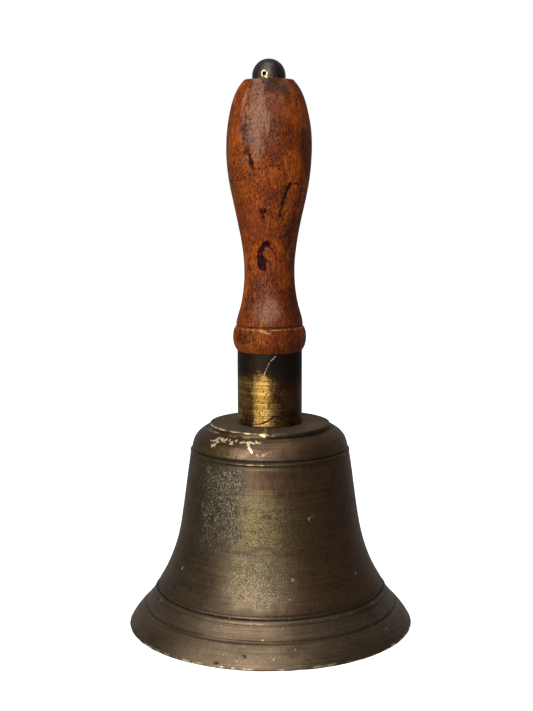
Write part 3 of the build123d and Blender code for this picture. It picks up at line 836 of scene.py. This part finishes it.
def handle_wear(skin):
    """Knocks, chips and a split in the varnish, with the bare and dirty places, and pale patches at the front
    that are painted sheen.
    """
    height = skin.height
    grip = ramp(height, 148.6, 150)
    chips = most(
        skin.scratch([(-5, 188.0), (-14, 187.0), (-19, 184.5), (-23, 181.5)], 1.7, 0.5, 0.35),
        skin.blot((-18, 179.0), (2.0, 4.0), lean=-14, ragged=0.4, soft=0.4, seed=42),
        0.4 * skin.scratch([(-8, 187), (4, 186.2), (13, 183.5), (17, 180)], 0.9, 1.0, 0.6),
        skin.blots(
            (0.8, (-13, 203.6), (0.8, 1.6), -20, 0.5, 0.5, 44),
            (0.8, (-7, 203.8), (0.8, 1.2), 25, 0.5, 0.5, 45),
            (0.7, (-10, 200.8), (0.9, 0.8), 0, 0.5, 0.5, 43),
            (0.8, (-25, 226), (0.9, 4.0), -14, 0.5, 0.6, 46),
            (0.7, (158, 190), (1.6, 3.0), 0, 0.4, 0.5, 48),
            (0.6, (-128, 221), (1.4, 2.4), 0, 0.4, 0.5, 49),
            (0.6, (104, 238), (1.3, 1.8), 0, 0.5, 0.5, 50),
        ),
    )
    flake = skin.blot((2, 182), (4.6, 5.0), lean=25, ragged=0.35, soft=0.3, seed=51)
    cracks = most(
        0.8 * skin.scratch([(52, 215.8), (40, 216.3), (31, 216.3)], 0.75, 0.9, 0.4),
        skin.scratch([(31, 216.3), (26, 212), (20.5, 206.5), (19, 201.5)], 1.35, 0.8, 0.15),
        0.8 * skin.scratch([(56, 205), (55, 213), (50, 222)], 1.0),
        0.9 * skin.scratch([(0, 224.6), (7, 224.3), (14, 224.7)], 0.6),
        0.7 * skin.scratch([(-150, 206), (-146, 213), (-149, 219)], 0.7),
        0.6 * skin.scratch([(118, 163), (112, 172)], 0.6),
    ) * (0.55 + 0.45 * ramp(skin.noise(2, 52), -0.6, 0.3))
    top = ramp(height, 240, 262)
    across = skin.bearing + 9 * skin.noise(2.2, 71, 2, stretch=(1, 1, 5))
    up = height + 7 * skin.noise(3, 72, 2, stretch=(1, 1, 2))
    # Scuffed varnish at the back; at the front the pale patches lie where the light's highlight falls and are
    # painted sheen
    scuff_and_sheen = most(
        0.4 * between(across, -38, -14, 8, 34)
        * (ramp(height, 226, 238) + ramp(height, 176, 160)),
        between(across, -46, -30, -10, 6) * ramp(up, 220, 238),
        0.6 * between(across, 5, 15, 30, 60) * ramp(up, 248, 258),
        0.85 * skin.blot((-8, 155), (6.5, 8), ragged=0.3, soft=0.9, seed=54),
        0.55 * ramp(skin.noise(16, 55, stretch=(1, 1, 2.2)), 0.2, 0.8) * ramp(np.abs(skin.bearing), 60, 90),
    ) * grip
    smudge = most(
        skin.blots(
            (0.9, (8, 262), (6.5, 4.5), 0, 0.4, 0.9, 56),
            (0.75, (-33, 241), (3, 7), 0, 0.5, 0.9, 57),
            (1.0, (-31, 231.5), (2.2, 2.8), 0, 0.6, 0.9, 47),
            (0.7, (44, 196), (3.5, 9), 0, 0.5, 0.9, 58),
            (0.65, (-48, 163), (4, 9), 0, 0.5, 0.9, 59),
            (0.7, (-24, 168), (3.5, 3.5), 0, 0.5, 0.9, 60),
            (0.75, (-48, 143.5), (5, 3.2), 0, 0.5, 0.8, 61),
        ),
        0.55 * ramp(skin.noise(10, 62, stretch=(1, 1, 2)), 0.35, 0.9),
        0.6 * flake * (1 - skin.blot((3, 181.5), (3.6, 3.8), lean=25, ragged=0.35, soft=0.5, seed=51)),
        0.45 * skin.sector(15, 60, 12) * ramp(np.abs(height - 210), 12, 3),
        0.9 * skin.ring(148.6, 0.9), 0.35 * top * ramp(skin.noise(7, 63), 0.0, 0.8),
    )
    # A deeper red-brown: in patches at random, and on the right side as painted shade away from the light
    deep = np.maximum(
        skin.sector(12, 120, 40) * ramp(skin.noise(22, 64), -0.8, 0.3),
        0.8 * ramp(skin.noise(25, 65), 0.0, 0.7),
    )
    nibbled = ramp(skin.noise(1.8, 66), -0.2, 0.7)
    worn = most(
        0.9 * skin.ring(147.6, 0.8) * (0.45 + 0.55 * nibbled),
        0.35 * skin.ring(136.3, 1.0) * nibbled, 0.5 * skin.ring(264.4, 0.9) * nibbled,
        0.8 * skin.blot((-9, 146.8), (3.6, 0.6), lean=14, ragged=0.4, seed=67),
    )
    skin.fields = {
        "scuff_and_sheen": scuff_and_sheen, "chip": np.clip(chips * 1.3, 0, 1), "crack": np.clip(cracks, 0, 1),
        "smudge": np.clip(smudge, 0, 1), "deep": deep, "worn": worn,
    }
    return (
        0.08 * skin.noise(18, 68) + 0.03 * skin.noise(5, 69, stretch=(1, 1, 4)) - 0.65 * chips - 0.14 * flake
        - 0.38 * cracks - 0.1 * skin.ring(136.4, 0.9) * nibbled
        - 0.02 * scuff_and_sheen * skin.noise(1.2, 70, stretch=(1, 1, 5))
    )


def handle():
    piece = lathe("turned_handle", handle_outline(), 320, handle_wear, sharp=60)
    finished(piece, BELL, "varnished_wood", varnished_wood(), "wooden_handle")


# -------- hardware on the axis

def hexagon(bearing, flats):
    """Radius of a hexagon at each bearing."""
    corner = (bearing % 60) - 30
    return flats / 2 / np.cos(np.radians(corner))


def thread_depth(skin, pitch, depth):
    """A V thread cut into a rod, in mm: 0 on its crests."""
    turn = (skin.height / pitch - skin.bearing / 360) % 1
    return -depth * np.abs(2 * turn - 1)


def dome_nut():
    """Blind domed nut with two spanner holes, each ringed by bare brass."""
    seat, top = low_high("dome_nut")
    radius = half_width("dome_nut")
    bore, bore_top, centre = 4.02, seat + 6.5, top - radius
    outline = np.vstack((
        line((bore, seat), (radius - 0.25, seat), 6),
        arc((radius - 0.25, seat), (radius - 0.07, seat + 0.07), (radius, seat + 0.25), 3),
        line((radius, seat + 0.25), (radius, centre), 8),
        arc((radius, centre), (radius * math.sqrt(0.5), centre + radius * math.sqrt(0.5)), (0, top), 74),
        [(0, top)],
        line((0, bore_top + 1.2), (bore, bore_top), 3),
        line((bore, bore_top), (bore, seat), 8),
    ))
    hole_bearing, hole_height, hole_radius, hole_depth = -16.0, seat + 2.2, 0.9, 2.0

    def wear(skin):
        outside = ramp((skin.outward * (skin.points - (0, 0, centre - 2))).sum(axis=1), 0, 1)
        holes, rings = np.zeros(len(skin.height)), np.zeros(len(skin.height))
        for bearing in (hole_bearing, hole_bearing + 180):
            away = np.hypot(*skin.offset(bearing, hole_height))
            holes = np.maximum(holes, ramp(away, hole_radius * 1.12, hole_radius * 0.88))
            rings = np.maximum(rings, ramp(np.abs(away - hole_radius * 1.45), 0.55, 0.1))
        rings *= ramp(skin.noise(1.3, 71), -1.3, -0.3)
        seat_specks = skin.ring(seat + 0.4, 0.7) * ramp(skin.noise(1.4, 72), -0.1, 0.6)
        skin.fields = {
            "rubbed": np.clip(rings + 0.7 * seat_specks, 0, 1) * outside,
            "grime_and_shade": holes * outside,
        }
        return (0.03 * skin.noise(4, 73) - hole_depth * holes + 0.05 * rings) * outside

    finished(lathe("domed_nut", outline, 300, wear, sharp=45), BELL, "nut_brass", nut_patina(), "dome_nut")


def tie_rod():
    """Rod with a thread at each end, under the domed nut and down to the yoke."""
    low, high = low_high("tie_rod")
    radius, pitch, depth = half_width("tie_rod"), 1.41, 0.42
    lower_thread, upper_thread, fade, chamfer = 24, 14, 1.5, 0.5
    outline = np.vstack((
        line((0, low), (radius - chamfer, low), 2),
        line((radius - chamfer, low), (radius, low + chamfer), 2),
        line((radius, low + chamfer), (radius, low + lower_thread), 120),
        line((radius, low + lower_thread), (radius, high - upper_thread), 20),
        line((radius, high - upper_thread), (radius, high - chamfer), 70),
        line((radius, high - chamfer), (radius - chamfer, high), 2),
        line((radius - chamfer, high), (0, high), 2),
        [(0, high)],
    ))

    def wear(skin):
        threaded = np.maximum(
            ramp(skin.height, low + lower_thread, low + lower_thread - fade),
            ramp(skin.height, high - upper_thread, high - upper_thread + fade),
        ) * ramp(skin.radius, radius - 0.6, radius - 0.3)
        return threaded * thread_depth(skin, pitch, depth)

    piece = lathe("threaded_tie_rod", outline, 96, wear, sharp=40)
    material = steel("rod_steel", "8d8a84", "5d5a55")
    finished(piece, BELL, "rod_steel", material, "tie_rod")


def washer(name, node, slot, material, soft_edge=0.2, lumps=0.03):
    """A flat ring, a little dished and uneven."""
    low, high = low_high(node)
    bore, outer = 4.22, half_width(node)
    corners = [(bore, low), (outer, low), (outer, high), (bore, high)]
    outline = refined(rounded(corners, soft_edge), 0.25)

    def wear(skin):
        rim = ramp(skin.radius, outer - 0.8, outer)
        return -lumps * ramp(skin.noise(2.5, 81), -0.6, 0.6) - lumps * rim * ramp(skin.noise(0.9, 82), 0, 0.7)

    finished(lathe(name, outline, 180, wear), BELL, slot, material, node)


def hexagon_nut(name, node, body, bore, flats):
    """A steel hexagon nut with its corners turned off above and below."""
    low, high = low_high(node)
    corner = flats / math.sqrt(3)
    face = flats * 0.48
    drop = (corner - face) * math.tan(math.radians(30))
    corners = [
        (bore, low), (face, low), (corner, low + drop), (corner, high - drop), (face, high), (bore, high),
    ]
    outline = refined(rounded(corners, 0.15, 3), 0.2)

    def wear(skin):
        side = ramp(skin.radius, bore + 0.4, bore + 0.8)
        inset = np.minimum(hexagon(skin.bearing, flats) - skin.radius, 0) * side
        pull = inset * np.hypot(skin.outward[:, 0], skin.outward[:, 1])
        knock = ramp(skin.noise(1.8, 83), 0.1, 0.9) * ramp(skin.radius, face, corner)
        return pull - 0.12 * knock

    finished(lathe(name, outline, 240, wear, sharp=35), body, "hardware_steel", hardware, node)


# -------- clapper and its hanger

def hanger_yoke():
    def wear(skin):
        skin.fields = {"struck": np.zeros(len(skin.height))}
        return 0.10 * skin.noise(3.5, 91) - 0.10 * ramp(skin.noise(1.4, 92), 0.2, 0.9)

    piece = forged("hanger_yoke", "clapper_yoke", 0.22, 6, wear)
    material = iron("yoke_steel", "6a625a", "352f2a", 0.35)
    finished(piece, BELL, "yoke_steel", material, "clapper_yoke")


def hinge_pin():
    def wear(skin):
        return 0.02 * skin.noise(2.5, 93)

    piece = forged("hinge_pin", "pivot_pin", 0.13, 2, wear)
    finished(piece, BELL, "hardware_steel", hardware, "pivot_pin")


def hinge_washer():
    piece = forged("hinge_washer", "pin_washer", 0.1, 2)
    finished(piece, BELL, "hardware_steel", hardware, "pin_washer")


def split_pin():
    """Wire folded double: an eye above, two legs through the pin, spread below."""
    low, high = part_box("split_pin")
    middle, bottom, top = (low.y + high.y) / 2, low.z / MM, high.z / MM
    pin = sum(low_high("pivot_pin")) / 2
    wire, leg, neck, eye = 0.34, 0.36, 0.40, 1.25
    data = bpy.data.curves.new("bent_split_pin", "CURVE")
    data.dimensions, data.bevel_depth, data.bevel_resolution, data.resolution_u = "3D", wire * MM, 6, 10
    data.use_fill_caps = True
    spline = data.splines.new("NURBS")
    route = [
        (-leg - 1.0, bottom + wire), (-leg - 0.25, pin - 3.1), (-leg, pin - 1.5), (-leg, pin + 1.5),
        (-neck, pin + 2.8), (-eye, top - 1.9), (-eye, top - 0.6), (0, top - wire + 0.25), (eye, top - 0.6),
        (eye, top - 1.9), (neck, pin + 2.8), (leg, pin + 1.5), (leg, pin - 1.5),
        (leg + 0.25, pin - 3.1), (leg + 1.1, bottom + wire + 0.2),
    ]
    spline.points.add(len(route) - 1)
    for point, (x, z) in zip(spline.points, route):
        point.co = (x * MM, middle, z * MM, 1.0)
    spline.order_u, spline.use_endpoint_u = 4, True
    material = steel("split_pin_steel", "96928a", "6b675f", 0.2)
    finished(linked("bent_split_pin", data), BELL, "split_pin_steel", material, "split_pin")


def clapper_shank():
    ball_low, ball_high = low_high("clapper_ball")
    tail = 2.5
    pitch, depth = 1.0, 0.3

    def wear(skin):
        plain = ramp(skin.height, ball_low - 0.2, ball_low + 1.0)
        skin.fields = {"struck": np.zeros(len(skin.height))}
        threaded = ramp(skin.height, ball_low, ball_low - 0.8) * ramp(skin.radius, tail - 0.5, tail - 0.2)
        return plain * (0.09 * skin.noise(4, 94) - 0.08 * ramp(skin.noise(1.5, 95), 0.2, 0.9)) \
            + threaded * thread_depth(skin, pitch, depth)

    piece = forged("clapper_shank", "clapper_rod", 0.2, 4, wear)
    material = iron("forged_steel", "5e5751", "2b2724", 0.45)
    finished(piece, CLAPPER, "forged_steel", material, "clapper_rod")


def striking_ball():
    """Cast iron ball with a parting line, flattened and bright where it strikes, left and right."""
    low, high = low_high("clapper_ball")
    radius = half_width("clapper_ball")
    centre, bore = (low + high) / 2, 2.55
    reach = math.sqrt(radius ** 2 - (centre - low) ** 2)
    outline = np.vstack((
        line((bore, low), (reach, low), 6),
        arc((reach, low), (radius, centre), (reach, high), 130),
        line((reach, high), (bore, high), 6),
        line((bore, high), (bore, low), 8),
    ))

    def wear(skin):
        outside = ramp(skin.radius, bore + 0.3, bore + 0.8)
        struck = ramp(np.abs(skin.points[:, 0]), radius - 1.3, radius - 0.45)
        flat = np.maximum(np.abs(skin.points[:, 0]) - (radius - 0.35), 0)
        seam = ramp(np.abs(skin.points[:, 1]), 0.5, 0.1) * (1 - struck)
        skin.fields = {"struck": struck * ramp(skin.noise(3, 96), -0.7, 0.3)}
        rough = 0.10 * skin.noise(5, 97) - 0.16 * ramp(skin.noise(1.7, 98), 0.3, 0.9) - 0.08
        return outside * (rough * (1 - 0.8 * struck) + 0.10 * seam - flat)

    piece = lathe("striking_ball", outline, 300, wear, sharp=45)
    material = iron("ball_iron", "554f4a", "2a2522", 0.6)
    finished(piece, CLAPPER, "ball_iron", material, "clapper_ball")


# -------- stage, light and camera

def white_stage():
    """A pale floor, seen only from above, under a white sky that only the camera sees."""
    size = 6.0
    mesh = bpy.data.meshes.new("floor")
    corners = [(-size, -size, 0), (size, -size, 0), (size, size, 0), (-size, size, 0)]
    mesh.from_pydata(corners, [], [(0, 1, 2, 3)])
    floor = linked("floor", mesh)
    floor.visible_glossy = False
    f = Finish("floor_white")
    under = f.node("NewGeometry", {})["Backfacing"]
    seen = f.node("LightPath", {})["Is Camera Ray"]
    white = (1, 1, 1, 1)
    f.made((0.8, 0.8, 0.8, 1), 1.0, specular_ior_level=0.0, emission_color=white, emission_strength=seen)
    clear = f.node("BsdfTransparent", {})[0]
    shown = f.node("MixShader", {0: under, 1: f.shader.outputs[0], 2: clear})[0]
    f.put(f.tree.nodes["Material Output"].inputs["Surface"], shown)
    mesh.materials.append(f.material)

    world = bpy.data.worlds.new("studio")
    bpy.context.scene.world = world
    studio = Nodes(world)
    toward = studio.node("SeparateXYZ", {0: studio.node("TexCoord", {})["Generated"]})["Y"]
    spread = {"Value": toward, "From Min": 0.3, "From Max": 1.0, "To Min": 0.07, "To Max": 0.36}
    room = studio.tree.nodes["Background"]
    studio.put(room.inputs["Color"], (1, 0.98, 0.96, 1))
    studio.put(room.inputs["Strength"], studio.node("MapRange", spread)[0])
    sky = studio.node("Background", {"Color": white})[0]
    seen = studio.node("LightPath", {})["Is Camera Ray"]
    share = studio.node("MixShader", {0: seen, 1: room.outputs[0], 2: sky})[0]
    studio.put(studio.tree.nodes["World Output"].inputs["Surface"], share)


def softbox(name, target, bearing, elevation, distance, size, power):
    """A soft area light that faces the target. Size is its width and height."""
    light = bpy.data.lights.new(name, "AREA")
    light.shape, light.energy = "RECTANGLE", power
    light.size, light.size_y = size
    lamp = linked(name, light)
    b, e = math.radians(bearing), math.radians(elevation)
    back = Matrix.Rotation(b, 3, "Z") @ Matrix.Rotation(-e, 3, "X") @ Vector((0, -1, 0))
    lamp.location = target + back * distance
    lamp.rotation_mode = "QUATERNION"
    lamp.rotation_quaternion = back.to_track_quat("Z", "Y")


def mouth_light():
    """A dim round light in the plane of the mouth, so that the inside isn't black from below."""
    light = bpy.data.lights.new("mouth", "AREA")
    light.shape, light.size, light.energy = "DISK", 0.1, 0.03
    lamp = linked("mouth", light)
    lamp.location.z = 0.5 * MM
    lamp.rotation_euler = (math.pi, 0, 0)


def camera():
    """The camera: as high as the handle's bulge, looking a little down."""
    distance, height, pitch, roll = 0.628, 0.2243, 8.252, -0.17
    data = bpy.data.cameras.new("camera")
    data.lens, data.sensor_width, data.shift_x = 66.0, 36.0, -0.0045
    eye = linked("camera", data)
    eye.location = (0, -distance, height)
    turn = Matrix.Rotation(math.radians(90 - pitch), 3, "X") @ Matrix.Rotation(math.radians(roll), 3, "Z")
    eye.rotation_mode = "QUATERNION"
    eye.rotation_quaternion = turn.to_quaternion()
    bpy.context.scene.camera = eye


# -------- the whole scene

hardware = steel("hardware_steel", "8f8b84", "605c56", 0.5)
bell_casting()
collar()
handle()
dome_nut()
tie_rod()
washer("top_washer", "handle_washer", "washer_brass", plain_brass())
washer("leather_packing", "leather_washer", "oiled_leather", oiled_leather(), soft_edge=0.45, lumps=0.12)
washer("crown_backing_washer", "crown_washer", "hardware_steel", hardware)
hexagon_nut("crown_hexagon_nut", "crown_nut", BELL, bore=4.02, flats=13.3)
hanger_yoke()
hinge_pin()
hinge_washer()
split_pin()
clapper_shank()
striking_ball()
hexagon_nut("ball_nut", "clapper_nut", CLAPPER, bore=2.55, flats=8.0)

white_stage()
middle = (cad_box[0] + cad_box[1]) / 2
softbox("key", middle, bearing=-26, elevation=21, distance=1.1, size=(1.05, 1.3), power=17.5)
softbox("overhead", middle, bearing=-20, elevation=78, distance=1.0, size=(0.7, 0.7), power=3)
mouth_light()
camera()
bpy.context.scene.view_settings.view_transform = "Standard"
